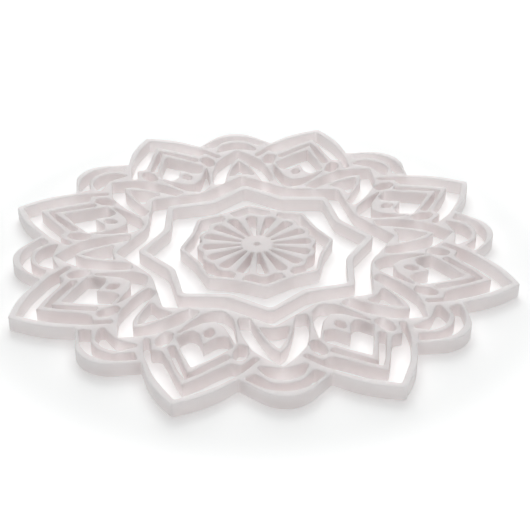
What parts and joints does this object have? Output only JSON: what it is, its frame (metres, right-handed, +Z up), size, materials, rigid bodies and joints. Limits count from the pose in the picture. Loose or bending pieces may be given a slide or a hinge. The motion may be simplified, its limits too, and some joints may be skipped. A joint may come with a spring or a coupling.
{
  "type": "resin casting mould",
  "caption": "Openwork mandala mould in soft silicone: a petalled frame with a loose star ring and a loose centre medallion nested inside it.",
  "frame": {"origin": "centre of the underside, on the surface that the mould lies on", "axes": "+Z up through the thickness; +X and +Y through petal tips"},
  "size_m": [0.1992, 0.1992, 0.0058],
  "materials": {
    "silicone": "matte"
  },
  "bodies": {
    "frame_body": {"frame": "silicone"},
    "star_body": {"star_ring": "silicone"},
    "medallion_body": {"medallion": "silicone"}
  },
  "joints": [
    {"name": "star_lift", "type": "slide", "parent": "frame_body", "child": "star_body", "axis": [0, 0, 1], "range_m": [0, 0.03]},
    {"name": "medallion_lift", "type": "slide", "parent": "frame_body", "child": "medallion_body", "axis": [0, 0, 1], "range_m": [0, 0.03]}
  ]
}
